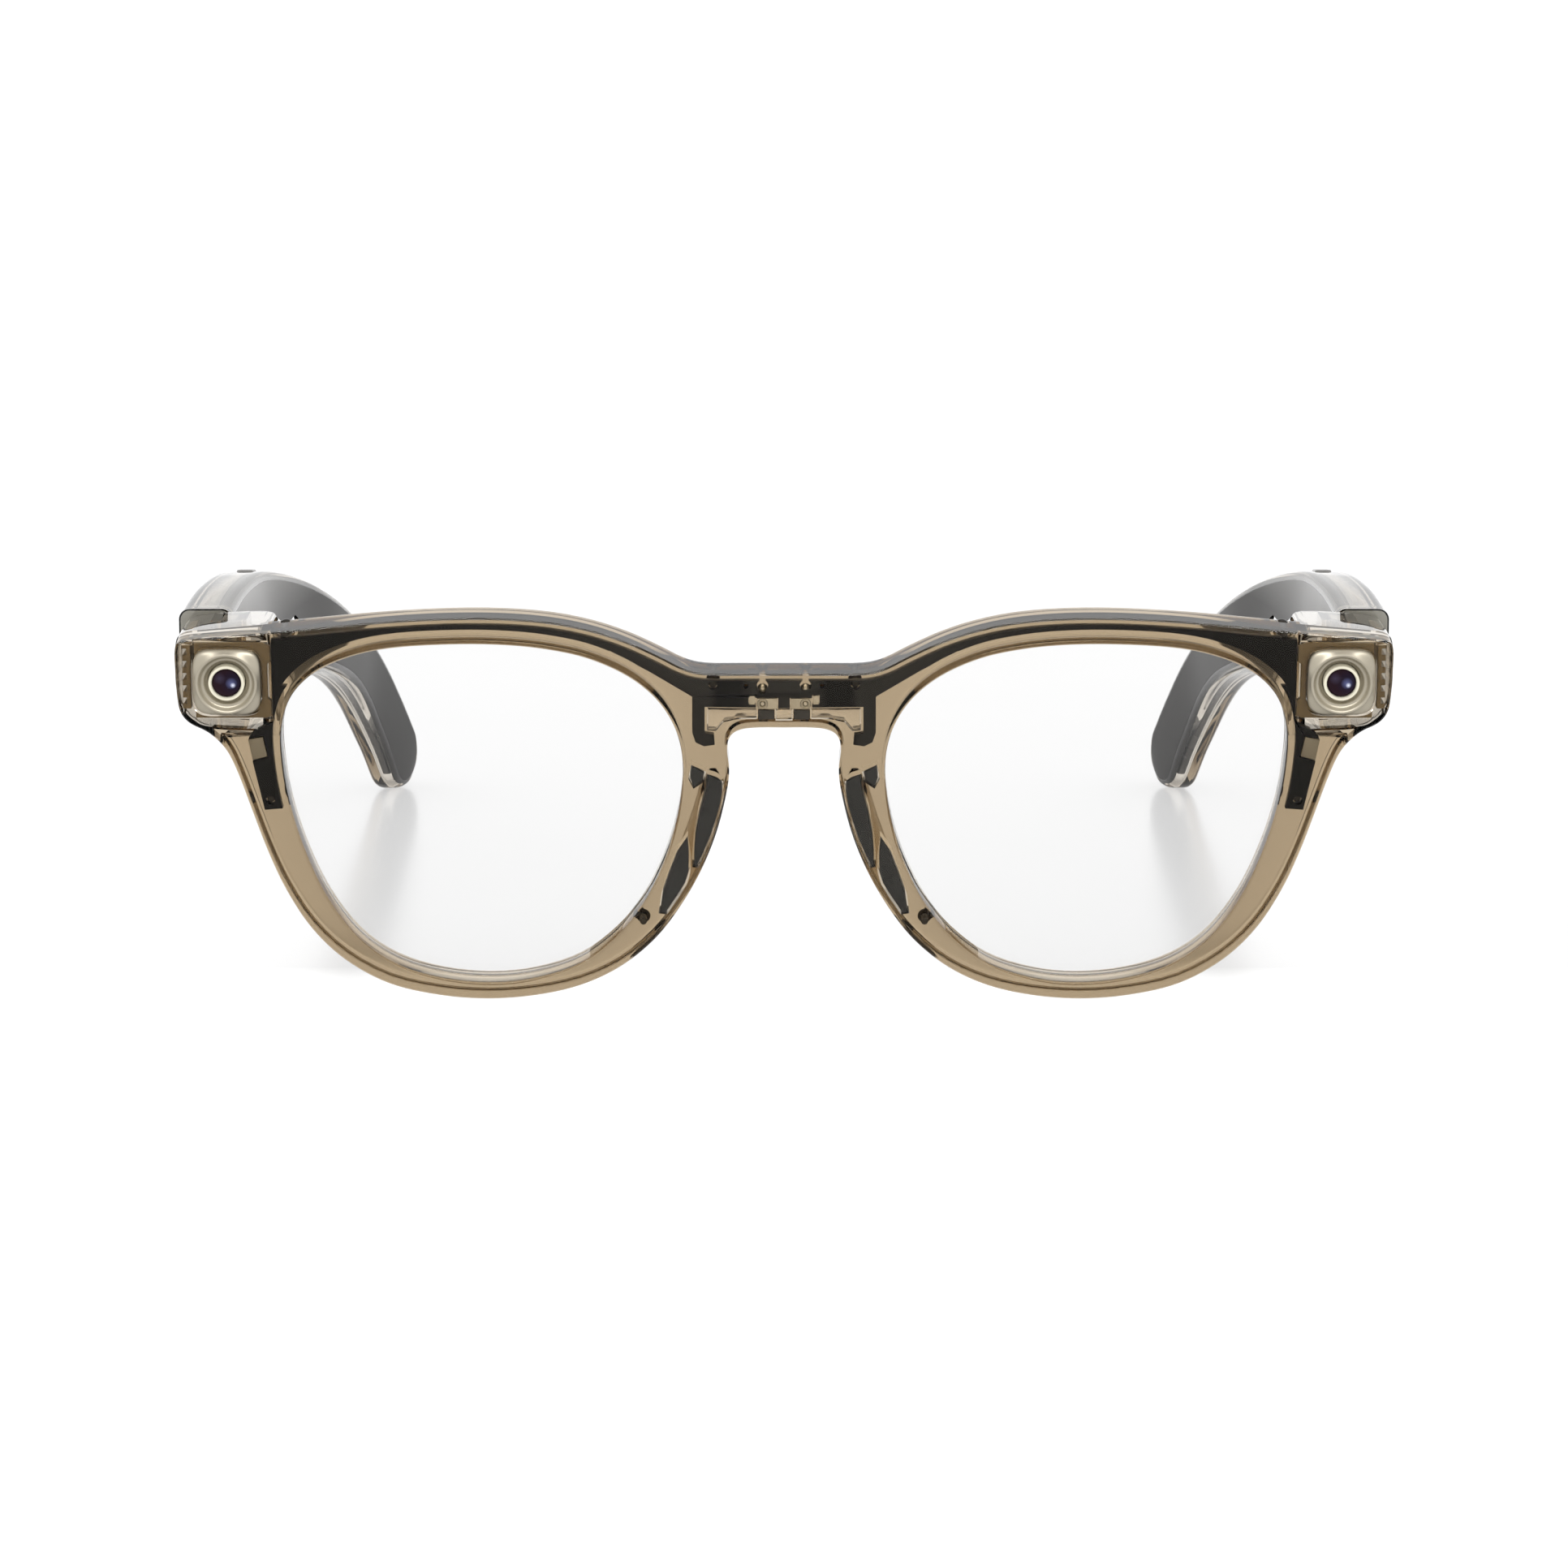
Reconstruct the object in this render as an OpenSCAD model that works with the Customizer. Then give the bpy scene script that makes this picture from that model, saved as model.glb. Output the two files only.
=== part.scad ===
// Smart glasses in translucent plastic: a camera in one corner of the front, a capture
// light in the other, and electronics in both folding temples.
// +X is the wearer's left, -Y is ahead of the wearer, +Z is up. The origin is on the
// surface that the glasses stand on, below the middle of their bounding box.
// Names that end in _right are on the wearer's right, at -X.

/* [Front] */
// Lean of the front, its top edge forward, in degrees
tilt = 7; // [5:0.5:9]
// Thickness of the front, front face to back
front_t = 5.4; // [5.3:0.1:5.8]
// Skin ahead of the pocket that holds the inner parts
skin_t = 1.1; // [1:0.1:1.3]
// Thickness of the rear cover
cover_t = 1.5; // [1.3:0.1:1.7]
// Thickness of a lens at its edge
lens_t = 1.8; // [1.6:0.1:2]
// Depth of the groove around each lens opening
groove = 0.6; // [0.4:0.1:0.7]

/* [Cameras] */
// Distance of each camera window from the middle plane
cam_x = 67.3; // [66.8:0.1:67.6]
// Height of each camera window up the front
cam_z = 40.6; // [40:0.1:41]
// Width of the square bezel
bezel_w = 8.2; // [7.8:0.1:8.6]
// Corner radius of the square bezel
bezel_r = 2.5; // [1.5:0.1:3]

/* [Temples] */
// Thickness of a temple at its hinge
arm_t = 6.6; // [6.4:0.1:6.8]
// Height of a temple at its hinge
arm_h = 12.6; // [12.2:0.1:13]
// Wall of the temple's outer shell
wall_t = 1.2; // [1:0.1:1.4]
// Thickness of the inner cover
inner_t = 1.2; // [1:0.1:1.4]

/* [Hinges] */
// Distance of each hinge axis from the middle plane
hinge_x = 68; // [67.6:0.1:68]
// Depth of each hinge axis behind the front's lower edge
hinge_y = 12.9; // [12.8:0.1:13.2]
// Radius of the knuckles
knuckle_r = 1.8; // [1.6:0.1:1.9]
// Radius of the pin
pin_r = 0.7; // [0.6:0.05:0.8]

/* [Buttons] */
// Travel of the two push buttons
press = 0.5; // [0.3:0.1:0.6]
// Travel of the power slider
slide = 2.2; // [1.5:0.1:2.5]

/* [Hidden] */

$fn = 48;
e = 0.01;                                // overlap that keeps cuts clean
gap = 0.1;                               // clearance between pieces that are put together
split_y = front_t - cover_t;             // where the front shell meets the rear cover
end_x = 62.6;                            // inner side of the two end pieces
end_y = hinge_y - 0.25;                  // back of the two end pieces
carrier_y = skin_t + gap;                // front face of the black carrier
carrier_t = 1.5;
lens_y = split_y - lens_t;
bezel_ring = 3.8;                        // radius of the bezel's raised round rim
bezel_proud = 0.7;                       // how far that rim stands ahead of the front
tip_end = [136.2, 5.05];                 // middle of the round end of a temple, as [y, z]
tip_h = 10;                              // height of the temple near its tip
front_y = -(cam_z + bezel_ring) * sin(tilt) - bezel_proud * cos(tilt);
mid_y = (front_y + tip_end[0] + tip_h / 2) / 2;  // middle of the whole depth

// Colours
tan = [0.62, 0.53, 0.40, 0.6];
black = [0.13, 0.13, 0.13];
champagne = [0.60, 0.57, 0.49];
cream = [0.90, 0.87, 0.74];
steel = [0.70, 0.70, 0.70];
graphite = [0.30, 0.29, 0.28];

// ---- curves ----

// One point on a Catmull-Rom piece from b to c
function cr(a, b, c, d, t) = 0.5 * (2 * b + (c - a) * t + (2 * a - 5 * b + 4 * c - d) * t * t
    + (3 * b - 3 * c + d - a) * t * t * t);

// Open curve through the points p, n steps to each piece
function curve(p, n) = let (m = len(p) - 1) concat(
    [for (i = [0:m - 1]) for (k = [0:n - 1])
        cr(p[max(i - 1, 0)], p[i], p[i + 1], p[min(i + 2, m)], k / n)],
    [p[m]]);

// Closed curve through the points p, n steps to each piece
function loop(p, n) = let (m = len(p)) [for (i = [0:m - 1]) for (k = [0:n - 1])
    cr(p[(i + m - 1) % m], p[i], p[(i + 1) % m], p[(i + 2) % m], k / n)];

function unit(v) = v / norm(v);
function left_of(t) = [-t[1], t[0]];

// Twice the area inside an outline, negative where it runs clockwise
function turn(p, i = 0) = i == len(p) ? 0
    : let (q = p[(i + 1) % len(p)]) p[i][0] * q[1] - q[0] * p[i][1] + turn(p, i + 1);

// A closed outline moved outward by d, its corners kept sharp
function grow(p, d) = let (m = len(p), s = turn(p) < 0 ? d : -d) [for (i = [0:m - 1])
    let (a = left_of(unit(p[i] - p[(i + m - 1) % m])), b = left_of(unit(p[(i + 1) % m] - p[i])),
        c = unit(a + b)) p[i] + c * s / max(c * a, 0.5)];

function reversed(p) = [for (i = [len(p) - 1:-1:0]) p[i]];
function mirrored(p) = [for (q = p) [-q[0], q[1]]];

// Outline of the front, +X half, from the top of the bridge round to its underside
half_outline = [[0, 41.7], [5, 41.7], [9.6, 41.75], [12.2, 42.4], [15, 43.85], [18.8, 45.65],
    [23, 47.1], [28, 48.15], [34, 48.65], [41, 48.65], [48.7, 48.2], [56, 47.5], [64, 46.7],
    [70, 46.15], [72.6, 45.8], [73.4, 44.9], [73.45, 42], [73.3, 38.6], [72.9, 36.7],
    [71.8, 35.4], [69.6, 34.2], [67.6, 32.1], [66.2, 29], [64.6, 24.2], [62.9, 19.2],
    [60.8, 14.2], [57.8, 9.2], [53.8, 5.1], [48.5, 2], [42.5, 0.5], [36.5, 0], [30.5, 0.45],
    [25, 1.75], [20.2, 4.1], [16, 7.6], [12.8, 11.8], [10.1, 16.7], [8.2, 21.6], [7, 26.5],
    [6.65, 29.5], [6.9, 32.1], [6.5, 33.8], [5.2, 34.65], [3, 34.9], [0, 34.9]];
half_n = len(half_outline);
outline = loop(concat(half_outline,
    mirrored([for (i = [half_n - 2:-1:1]) half_outline[i]])), 3);

// Left lens opening, clockwise from its top
opening = loop([[33, 45.2], [39.2, 45.35], [46.7, 44.95], [52, 43.9], [56.5, 41.9],
    [59.5, 38.9], [60.8, 35], [60.8, 30.5], [60, 25], [58.3, 19], [55.7, 13], [52, 7.8],
    [47.5, 4.5], [42, 2.7], [36, 2.1], [30.5, 2.7], [25, 4.6], [20.5, 8.1], [17.2, 12.4],
    [14.8, 17.4], [13.2, 22.6], [12.4, 27.5], [12.4, 31.5], [13.4, 35.2], [15.6, 38.6],
    [19, 41.4], [23.5, 43.5], [28, 44.6]], 4);

// ---- placing ----

// Things that lie in the floor's frame
module world() translate([0, -mid_y, 0]) children();

// Things that lie in the leaning front's frame
module leaning() world() rotate([tilt, 0, 0]) children();

// A flat drawing in X and Z made solid from depth y0 to depth y1
module slab(y0, y1) translate([0, y1, 0]) rotate([90, 0, 0]) linear_extrude(y1 - y0) children();

module both() {
    children();
    mirror([1, 0, 0]) children();
}

// side is 1 for the wearer's left and -1 for the right
module on_side(side) mirror([side < 0 ? 1 : 0, 0, 0]) children();

module rounded(w, h, r) {
    square([w - 2 * r, h], center = true);
    square([w, h - 2 * r], center = true);
    for (x = [-1, 1], y = [-1, 1])
        translate([x * (w / 2 - r), y * (h / 2 - r)]) circle(r);
}

// ---- front ----

module front_2d(inset = 0) difference() {
    polygon(grow(outline, -inset));
    both() polygon(opening);
}

// Black carrier: a brow band, a hook beside the nose and a leg below the camera
brow_clip = [[-1, 37.15], [9.6, 37.3], [9.6, 38.6], [11.1, 38.6], [16.3, 41.8], [21, 44.4],
    [30, 40], [50, 38], [59, 33.5], [61.9, 33.5], [61.9, 50], [-1, 50]];
hook = [[9.6, 39], [9.6, 34], [8.5, 33.8], [8.4, 32.5], [9.7, 32.3], [10.7, 32.8], [11.1, 34],
    [11.1, 39]];
leg_clip = [[59, 40], [61.9, 40], [61.9, 35.4], [64.3, 34.2], [65, 33.2], [64.5, 30.3],
    [63.2, 24.2], [58, 24.6]];

module carrier_2d(room = 0) {
    brow_gap = 1.7 - room;
    leg_gap = 1.15 - room;
    edge_gap = 1.1 - room;
    intersection() {
        polygon(grow(outline, -edge_gap));
        both() {
            difference() {
                polygon(grow(brow_clip, room));
                polygon(grow(opening, brow_gap));
            }
            difference() {
                polygon(grow(leg_clip, room));
                polygon(grow(opening, leg_gap));
            }
            polygon(grow(hook, room));
        }
    }
}

// Dark inserts behind the nose side of each rim
insert_top = [[9.2, 28.7], [8.3, 28.2], [7.55, 27.7], [7.5, 26.5], [7.75, 25], [8.35, 22.8],
    [9.05, 20.6], [10, 18.3], [10.7, 16.9], [10.95, 16.9], [10.95, 18.4], [10.75, 20.9],
    [10.15, 24], [9.45, 26.6]];
insert_low = [[11.75, 20.7], [11.6, 18.4], [11.65, 16.2], [12.1, 14.7], [13.2, 12.9],
    [14.5, 10.9], [15.1, 10.9], [14.7, 13.5], [13.75, 16.3], [12.8, 18.8]];
insert_ear = [[11.15, 29.75], [9.65, 28.95], [9.95, 27.9], [10.95, 27.15], [11.35, 28.2]];

module inserts_2d(room = 0) both()
    for (p = [insert_top, insert_low, insert_ear]) polygon(grow(p, room));

// A side piece of the front that reaches back to the hinge
end_outline = [[end_x, 45.5], [63.8, 46.3], [70, 46.05], [72.9, 45.6], [73.7, 44.7],
    [73.85, 42], [73.75, 38.8], [73.1, 36.6], [71.7, 35.1], [69.5, 34.2], [end_x, 33.9]];
end_wall = 0.8;                          // wall of the end pieces
end_skin = 1.2;                          // their front skin

module end_piece() world() slab(-1.2, end_y) polygon(end_outline);

// The hollow of an end piece, behind its front skin and round a solid boss for the hinge
module end_hollow() difference() {
    union() {
        leaning() slab(end_skin, split_y) translate([end_x + end_wall + 0.1, 36.5])
            square([9.2, 8.6]);
        world() slab(-3.2, end_y - end_wall) polygon(grow(end_outline, -end_wall));
    }
    world() translate([hinge_x - 2.2, 6, 30]) cube([4.4, 10, 20]);
}

// Round room for the hinge's knuckles and flat room for its leaf
module hinge_room() world() {
    translate([hinge_x, hinge_y, 34.8]) cylinder(r = knuckle_r + 0.35, h = 10.9);
    translate([hinge_x - 1 - gap, 6.8, 35.1]) cube([1.9 + 2 * gap, 7, 10.3]);
}

module camera_room() leaning() slab(-1, 6.3) translate([cam_x, cam_z])
    rounded(bezel_w + 2 * gap, bezel_w + 2 * gap, bezel_r);

screw_spots = [[60.3, 46.3], [62.5, 25.4], [17.2, 9.6], [8.6, 40]];
screw_r = 0.45;

module front_shell() color(tan) difference() {
    union() {
        leaning() slab(0, split_y) front_2d();
        both() end_piece();
    }
    leaning() {
        slab(skin_t, split_y + e) carrier_2d(gap);
        slab(skin_t, split_y + e) inserts_2d(gap);
        both() slab(lens_y - e, 16) polygon(grow(opening, groove + gap));
        slab(-8, 16) both() polygon(opening);
        slab(skin_t, split_y + e) bridge_2d(gap);
        for (s = screw_spots) both() slab(split_y - 2, split_y + 1)
            translate(s) circle(screw_r + 0.05);
        slab(split_y, split_y + 40) cover_2d(gap);
    }
    both() {
        camera_room();
        hinge_room();
        end_hollow();
        bracket(gap);
        surround_pocket();
    }
}

// The rear cover closes the front between the end pieces
module cover_2d(room = 0) intersection() {
    difference() {
        polygon(outline);
        both() polygon(grow(opening, -room));
    }
    union() {
        square([2 * (end_x - 0.15 + room), 120], center = true);
        translate([-80, -10]) square([160, 43.2 + room]);
    }
}

module rear_cover() color(tan) leaning() difference() {
    slab(split_y + e, front_t) cover_2d();
    for (s = screw_spots) both() slab(0, 12) translate(s) circle(screw_r + 0.05);
    for (s = screw_spots) both() slab(front_t - 0.5, 12) translate(s) circle(0.95);
    contact_holes();
}

module lens(side) color([0.9, 0.92, 0.93, 0.25]) on_side(side) leaning()
    slab(lens_y + 0.02, split_y - 0.02) polygon(grow(opening, groove));

module carrier_frame() color(black) leaning() difference() {
    slab(carrier_y, carrier_y + carrier_t) carrier_2d();
    slab(0, 9) bridge_2d(gap);
    slab(0, 9) side_2d(gap);
    for (s = screw_spots) both() slab(0, 9) translate(s) circle(screw_r + 0.1);
    for (x = [-4.6, 4.6]) slab(0, 9) translate([x, 39.9]) circle(0.3);
}

// Flexible circuit that joins the two cameras behind the carrier
module front_flex() color([0.45, 0.3, 0.12]) leaning() difference() {
    slab(carrier_y + carrier_t + e, carrier_y + carrier_t + 0.2) intersection() {
        carrier_2d(-0.3);
        translate([-61.5, 38]) square([123, 12]);
    }
    slab(0, 9) bridge_2d(0.3);
    for (s = screw_spots) both() slab(0, 9) translate(s) circle(0.9);
}

// ---- bridge: charging contacts and the plates around them ----

post_x = 2.6;
plate_z = 37.7;
pad_z = 36.3;

module post_2d(room = 0) for (x = [-post_x, post_x]) translate([x, 0]) {
    translate([0, 40]) circle(0.6 + room);
    translate([-0.33 - room, 38.5]) square([0.66 + 2 * room, 1.5]);
}

module plate_2d(room = 0) for (s = [-1, 1]) {
    translate([s * 2.05, plate_z]) square([2.5 + 2 * room, 1.3 + 2 * room], center = true);
    translate([s * 3.85, plate_z + 0.45]) square([0.7 + 2 * room, 1.1 + 2 * room], center = true);
}

module pad_2d(room = 0) for (x = [-2.15, 2.15])
    translate([x, pad_z]) square([2 + 2 * room, 1.2 + 2 * room], center = true);

module wing_2d(room = 0) {
    translate([0, pad_z]) square([1.9 + 2 * room, 1.2 + 2 * room], center = true);
    both() polygon(grow([[3.35, 36.9], [9.2, 37], [9.2, 34.4], [8.3, 34.4], [7.4, 35.5],
        [5.6, 35.9], [3.35, 35.9]], room));
}

module bridge_2d(room = 0) {
    post_2d(room);
    plate_2d(room);
    pad_2d(room);
    wing_2d(room);
}

module contact_holes() for (x = [-post_x, post_x])
    slab(0, 12) translate([x, plate_z]) circle(0.7);

module contact_posts() color(champagne) leaning() {
    slab(carrier_y, carrier_y + 1.2) post_2d();
}

// Each plate carries a round contact that comes out flush with the back of the bridge
module contact_plates() color(champagne) leaning() {
    slab(carrier_y, carrier_y + 1) plate_2d();
    for (x = [-post_x, post_x])
        slab(carrier_y + 0.8, front_t) translate([x, plate_z]) circle(0.6);
}

module contact_pads() color(graphite) leaning() slab(carrier_y, carrier_y + 1.2) pad_2d();

module bridge_plates() color(champagne) leaning() slab(carrier_y, carrier_y + 1) wing_2d();

// ---- nose ----

module nose_pad() hull() {
    translate([8.8, 6, 27]) sphere(r = 1.5, $fn = 20);
    translate([9.5, 8.4, 22.5]) sphere(r = 1.6, $fn = 20);
    translate([11, 8.4, 18]) sphere(r = 1.6, $fn = 20);
    translate([13, 6, 13.3]) sphere(r = 1.6, $fn = 20);
}

module nose_pads() color(tan) leaning() intersection() {
    both() nose_pad();
    translate([-30, front_t + e, 0]) cube([60, 20, 40]);
}

module nose_inserts() color(black) leaning()
    slab(carrier_y, split_y - gap) inserts_2d();

module nose_microphone() color(steel) leaning()
    slab(carrier_y + carrier_t + 0.1, split_y - 0.1) translate([10.35, 35.6]) square(1.2, center = true);

// ---- corners ----

module camera_at(side) on_side(side) leaning() translate([cam_x, 0, cam_z]) children();

module bezel(side) color(champagne) camera_at(side) difference() {
    union() {
        slab(-0.3, 3) rounded(bezel_w, bezel_w, bezel_r);
        slab(-bezel_proud, 0) circle(bezel_ring);
    }
    slab(-1, 0.1) circle(3.2);
    slab(-1, 0.6) circle(2.6);
    slab(-1, 4) circle(2.3);
}

module ring(side) color(cream) camera_at(side) difference() {
    slab(-0.35, 1.4) circle(2.22);
    slab(-1, 2) circle(1.75);
}

module eye(side) color([0.12, 0.05, 0.16]) camera_at(side) {
    slab(0, 3) circle(1.68);
    intersection() {
        translate([0, 2.4, 0]) sphere(r = 2.9);
        slab(-1, 0.5) circle(1.66);
    }
}

module camera_module() color(black) camera_at(-1) {
    slab(3 + gap, 5.2) rounded(7, 7, 0.6);
    slab(5.2, 6.1) square(5, center = true);
}

module light_board() color([0.16, 0.3, 0.18]) camera_at(1) {
    slab(3 + gap, 3.9) rounded(7, 7, 0.6);
    slab(3.9, 5.2) square(2.6, center = true);
}

// Ribbed bracket outboard of each camera, and the flat frame round the camera
bracket_t = 1;
bracket_h = 8;
bracket_l = 12.4;
surround_y = end_skin - 0.05;            // front of the pocket for that frame
surround_t = 0.8;

module bracket(room = 0) world() translate([71.75, -3, 36.9]) difference() {
    translate([-room, -room, -room])
        cube([bracket_t + 2 * room, bracket_l + 2 * room, bracket_h + 2 * room]);
    if (room == 0) for (k = [0:4])
        translate([0.5, -1, 0.6 + 1.5 * k]) cube([2, 20, 0.75]);
}

module surround_2d(room = 0) polygon(grow([[62.05, 36.2], [62.6, 35.9], [71.2, 35.9],
    [71.2, 45.3], [63.4, 45.45], [62.05, 44.9], [62.05, 43], [62.45, 42.7], [62.45, 38.4],
    [62.05, 38.1]], room));

module surround_pocket() leaning() slab(surround_y, surround_y + surround_t + 2 * gap)
    surround_2d(gap);

module surround() difference() {
    leaning() slab(surround_y + gap, surround_y + gap + surround_t) surround_2d();
    camera_room();
}

module corner_brackets() color(champagne) both() {
    bracket();
    surround();
}

// Blocks at the foot of the carrier's legs, each with a metal contact set in it
module side_2d(room = 0) both() polygon(grow([[63.2, 33.5], [65, 33.2], [64.5, 30.5],
    [62.7, 31]], room));

module side_blocks() color(black) leaning()
    slab(carrier_y + carrier_t + 0.05, split_y - 0.05) intersection() {
        carrier_2d(-0.2);
        both() translate([60, 26.5]) square([4.6, 7.3]);
    }

module side_contacts() color(champagne) leaning()
    slab(carrier_y, carrier_y + carrier_t) intersection() {
        side_2d();
        polygon(grow(outline, -1.1));
    }

// ---- hinges ----

module knuckle(z0, z1) translate([hinge_x, hinge_y, z0]) difference() {
    cylinder(r = knuckle_r, h = z1 - z0);
    translate([0, 0, -1]) cylinder(r = pin_r + 0.05, h = z1 - z0 + 2);
}

module front_hinge_leaves() color(steel) both() world() {
    knuckle(35.2, 38.4);
    knuckle(42, 45.2);
    difference() {
        translate([hinge_x - 1, 7, 35.2]) cube([1.9, 5, 10]);
        translate([hinge_x, hinge_y, 30]) cylinder(r = pin_r + 0.05, h = 20);
        translate([hinge_x, hinge_y, 38.4]) cylinder(r = knuckle_r + 0.2, h = 3.6);
    }
}

module hinge_pins() color([0.5, 0.5, 0.5]) both() world() translate([hinge_x, hinge_y, 0]) {
    translate([0, 0, 35.2]) cylinder(r = pin_r, h = 10.05);
    difference() {
        translate([0, 0, 45.22]) cylinder(r = 1.2, h = 0.45);
        translate([-1.5, -0.15, 45.45]) cube([3, 0.3, 1]);
    }
}

module cover_screws() color(steel) leaning() for (s = screw_spots) both() {
    slab(split_y - 1.9, front_t - 0.3) translate(s) circle(screw_r - 0.02);
    slab(front_t - 0.45, front_t - 0.1) translate(s) circle(0.85);
}

// ---- temples ----

// Height of the temple's middle line along its length, as [y, z]
arm_line = curve([[hinge_y + 0.1, 40.1], [35, 39.8], [58, 38.1], [80, 34.2], [98.5, 29],
    [112, 24.2], [122.5, 18.4], [130.7, 11.2], tip_end], 5);
// Outer face of the temple in plan, as [y, x]
arm_side = curve([[hinge_y + 0.1, 74.8], [35, 74.9], [58, 74.2], [78, 71.8], [98, 67.9],
    [112, 65.4], [123, 63.2], [132, 60.5], [142.5, 57]], 4);
// Height of the temple along its length, as [share of its length, height]
arm_tall = curve([[0, arm_h], [0.35, 11.4], [0.6, 9.4], [0.8, 9.3], [1, tip_h]], 4);
tip_t = 3.6;                             // thickness of the temple near its tip
rim_t = 0.85;                            // clear rim of the shell round the inner cover
arm_n = len(arm_line) - 1;
side_n = len(arm_side) - 1;

function half_height(k) = lookup(k, arm_tall) / 2;
function thickness(k) = arm_t + (tip_t - arm_t) * k * k;

// Direction of the temple's middle line at its point i
function arm_dir(i) = unit(arm_line[min(i + 1, arm_n)] - arm_line[max(i - 1, 0)]);

// Side view of the temple between two shares of its half height, -1 to 1, less an inset
module profile_2d(low, high, inset = 0) {
    up = [for (i = [0:arm_n]) arm_line[i]
        + (high * half_height(i / arm_n) - inset) * left_of(arm_dir(i))];
    down = [for (i = [0:arm_n]) arm_line[i]
        + (low * half_height(i / arm_n) + inset) * left_of(arm_dir(i))];
    tip = low > -1 || high < 1 ? [] : [for (a = [15:15:165]) tip_end + (tip_h / 2 - inset)
        * (cos(a) * left_of(arm_dir(arm_n)) + sin(a) * arm_dir(arm_n))];
    polygon(concat(up, tip, reversed(down)));
}

// Plan of the temple between two depths inward of its outer face
module plan_2d(near, far) {
    a = [for (i = [0:side_n]) [arm_side[i][1] - near * thickness(i / side_n), arm_side[i][0]]];
    b = [for (i = [0:side_n]) [arm_side[i][1] - far * thickness(i / side_n), arm_side[i][0]]];
    polygon(concat(a, reversed(b)));
}

// Plan from a distance near inward of the outer face to a distance far outward of the inner
module band_2d(near, far) {
    a = [for (i = [0:side_n]) [arm_side[i][1] - near, arm_side[i][0]]];
    b = [for (i = [0:side_n]) [arm_side[i][1] - thickness(i / side_n) + far, arm_side[i][0]]];
    polygon(concat(a, reversed(b)));
}

// Plan of the inner cover's layer, and a distance beyond the inner face
module cover_band_2d(room = 0, beyond = 0) {
    a = [for (i = [0:side_n])
        [arm_side[i][1] - thickness(i / side_n) + inner_t + room, arm_side[i][0]]];
    b = [for (i = [0:side_n])
        [arm_side[i][1] - thickness(i / side_n) - beyond, arm_side[i][0]]];
    polygon(concat(a, reversed(b)));
}

// The part of a temple inside a side profile, a plan and two depths
module arm(y0 = 0, y1 = 200) world() intersection() {
    translate([50, 0, 0]) rotate([90, 0, 90]) linear_extrude(30) children(0);
    translate([0, 0, -5]) linear_extrude(60) children(1);
    translate([40, y0, -5]) cube([50, y1 - y0, 60]);
}

// Everything inboard of the shell's outer wall, within its top and bottom walls
module arm_cavity() arm(15.5) {
    profile_2d(-1, 1, wall_t);
    band_2d(wall_t, -8);
}

button_y = 60;                           // place of the push buttons along the temples
button_z = 43.75;                        // top of the temple there
button_x = 70.8;
button_l = 6;
button_w = 2.2;
button_lean = -8;                        // slope of the temple's top there

module pill(l, w, h) linear_extrude(h) {
    square([w, l - w], center = true);
    for (y = [-1, 1]) translate([0, y * (l - w) / 2]) circle(w / 2);
}

module at_button(drop) world() translate([button_x, button_y, button_z])
    rotate([button_lean, 0, 0]) translate([0, 0, -drop]) children();

module button_room() at_button(2.2) pill(button_l + 0.5, button_w + 0.5, 6);

module temple_shell(side) color([0.62, 0.6, 0.57, 0.6]) on_side(side) difference() {
    arm() {
        profile_2d(-1, 1);
        band_2d(0, 0);
    }
    arm_cavity();
    arm(15.1) {
        profile_2d(-1, 1, rim_t);
        cover_band_2d(0, 8);
    }
    button_room();
    temple_hinge_room();
    grille_room();
}

module temple_cover(side) color(graphite) on_side(side) difference() {
    arm(15.2) {
        profile_2d(-1, 1, rim_t + 0.05);
        cover_band_2d(-0.02);
    }
    temple_hinge_room();
    if (side > 0) world() translate([60, switch_y - 2.7, switch_z - 0.8])
        cube([12, 5.4, 1.6]);
}

module temple_hinge_room() world() {
    translate([hinge_x, hinge_y, 34.8]) cylinder(r = knuckle_r + 0.35, h = 10.9);
    translate([hinge_x - 0.3, hinge_y - 1, 37.6]) cube([2.3, 9.6, 4.8]);
}

module temple_hinge(side) color(steel) on_side(side) world() {
    knuckle(38.5, 41.9);
    difference() {
        translate([hinge_x + 0.2, hinge_y + 0.4, 37.9]) cube([1.6, 8, 4.2]);
        translate([hinge_x, hinge_y, 30]) cylinder(r = pin_r + 0.05, h = 20);
        translate([hinge_x, hinge_y, 41.95]) cylinder(r = knuckle_r + 0.2, h = 4);
        translate([hinge_x, hinge_y, 30]) cylinder(r = knuckle_r + 0.2, h = 8.45);
    }
}

module board(side) color([0.16, 0.22, 0.2]) on_side(side) {
    arm(24, 52.5) {
        profile_2d(-0.72, 0.72);
        plan_2d(0.42, 0.54);
    }
    world() for (k = [0:4])
        translate([71.45, 26 + 5.4 * k, 37 - 0.06 * k * k])
            cube([1.2, 3.6 + (k % 2), 3.2 + (k % 3)]);
}

module touch_film(side) color([0.75, 0.6, 0.35]) on_side(side) arm(28, 54) {
    profile_2d(-0.55, 0.55);
    plan_2d(0.21, 0.25);
}

module battery(side) color(steel) on_side(side) arm(66, 82) {
    profile_2d(-0.7, 0.7);
    plan_2d(0.3, 0.74);
}

module speaker(side) color(black) on_side(side) arm(88, 101) {
    profile_2d(-0.72, 0.3);
    plan_2d(0.3, 0.7);
}

module grille_room() arm(90, 99) {
    profile_2d(-1.3, -0.7);
    plan_2d(0.38, 0.62);
}

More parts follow.
